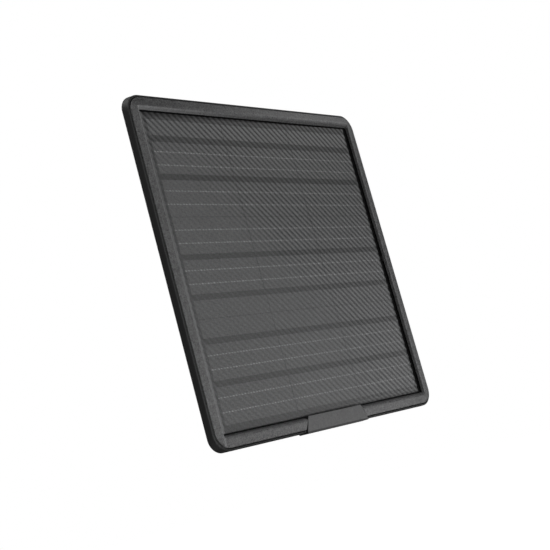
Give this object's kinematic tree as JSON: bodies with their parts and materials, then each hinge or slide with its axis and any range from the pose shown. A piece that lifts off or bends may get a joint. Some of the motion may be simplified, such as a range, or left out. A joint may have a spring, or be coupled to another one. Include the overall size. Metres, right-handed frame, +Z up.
{
  "type": "solar panel",
  "caption": "Thin rectangular outdoor solar panel in a two-part plastic frame, embossed cell face, hinged port flap in the bottom rail and a threaded mount on the back.",
  "frame": {"origin": "centre of the rear mounting thread at its mouth, in the plane of the rear mounting face", "axes": "+Z up along the panel's height, +X to the right as seen from the front, cells face -Y, mounting thread points along +Y"},
  "size_m": [0.1772, 0.02, 0.1711],
  "materials": {
    "bezel_plastic": "fine spark-eroded texture, dark grey",
    "shell_plastic": "finely textured black",
    "flap_plastic": "fine spark-eroded texture, dark grey",
    "embossed_film": "clear fluoropolymer film with a diagonal embossed rib, over dark cells",
    "encapsulant": "clear cured encapsulant",
    "silicon": "dark monocrystalline silicon",
    "tinned_copper": "bright tinned ribbon",
    "board_black": "black glass-fibre board",
    "foam_tape": "black closed-cell foam",
    "seal_rubber": "black silicone rubber",
    "steel": "passivated stainless steel",
    "insert_brass": "turned brass",
    "pcb_green": "green solder mask",
    "socket_steel": "nickel-plated shell",
    "tongue_black": "black moulded tongue",
    "ferrite": "dark grey ferrite",
    "chip_black": "black moulded package",
    "ceramic": "tan ceramic body",
    "wire_red": "red insulation",
    "wire_black": "black insulation",
    "solder": "solder",
    "membrane": "white porous membrane"
  },
  "bodies": {
    "housing": {"front_bezel": "bezel_plastic", "back_shell": "shell_plastic", "perimeter_gasket": "seal_rubber", "cover_film": "embossed_film", "front_encapsulant": "encapsulant", "solar_cells": "silicon", "busbar_ribbons": "tinned_copper", "collector_ribbons": "tinned_copper", "rear_encapsulant": "encapsulant", "backing_board": "board_black", "bonding_tape": "foam_tape", "shell_screws": "steel", "mount_insert": "insert_brass", "flap_pins": "steel", "regulator_board": "pcb_green", "board_screws": "steel", "output_socket": "socket_steel", "socket_tongue": "tongue_black", "socket_sleeve": "seal_rubber", "inductor": "ferrite", "regulator_ic": "chip_black", "filter_capacitors": "ceramic", "blocking_diode": "chip_black", "panel_lead_positive": "wire_red", "panel_lead_negative": "wire_black", "solder_joints": "solder", "vent_plug": "seal_rubber", "vent_membrane": "membrane"},
    "flap": {"port_flap": "flap_plastic", "flap_seal": "seal_rubber"}
  },
  "joints": [
    {"name": "flap_hinge", "type": "hinge", "parent": "housing", "child": "flap", "pos_m": [0, -0.0095, -0.0831], "axis": [1, 0, 0], "range_deg": [0, 130]}
  ]
}
